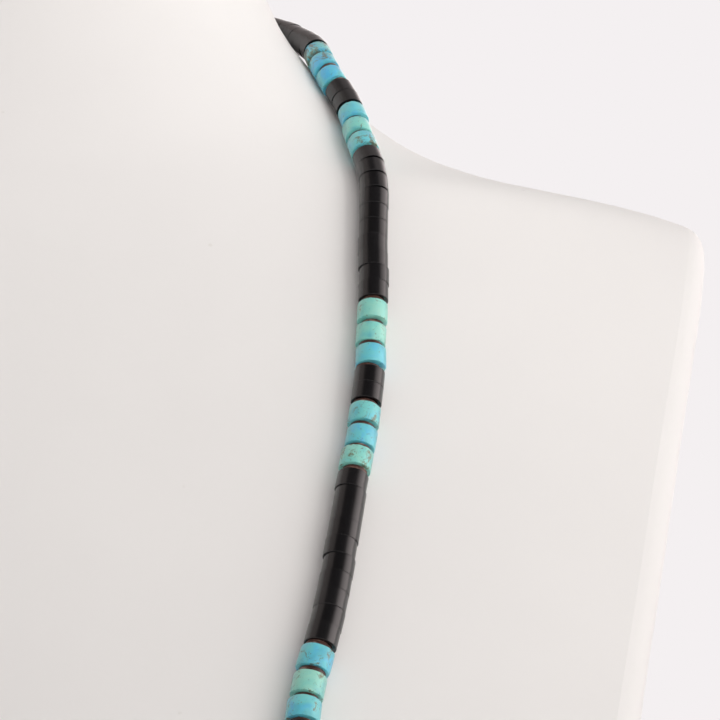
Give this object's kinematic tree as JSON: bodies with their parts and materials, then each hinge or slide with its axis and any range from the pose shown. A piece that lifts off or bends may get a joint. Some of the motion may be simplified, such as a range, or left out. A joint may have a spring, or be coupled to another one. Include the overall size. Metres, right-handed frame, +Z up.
{
  "type": "beaded necklace on a neck bust",
  "caption": "String of short black, turquoise and brown cylinder beads with a barrel clasp, lying on a plain white neck bust that stands on a flat base.",
  "frame": {"origin": "middle of the bust's flat base", "axes": "+Z up through the neck, the chest faces -Y, +X towards the wearer's left shoulder"},
  "size_m": [0.2082, 0.1205, 0.25],
  "materials": {
    "bust_lacquer": "matte white lacquer on hard foam",
    "black_stone": "satin polish",
    "turquoise_stone": "polished, with brown veins",
    "brown_shell": "polished coconut shell",
    "bead_thread": "braided nylon",
    "clasp_silver": "satin silver"
  },
  "bodies": {
    "root": {"neck_bust": "bust_lacquer", "black_beads": "black_stone", "turquoise_beads": "turquoise_stone", "brown_spacers": "brown_shell", "thread": "bead_thread", "clasp": "clasp_silver"}
  },
  "joints": []
}
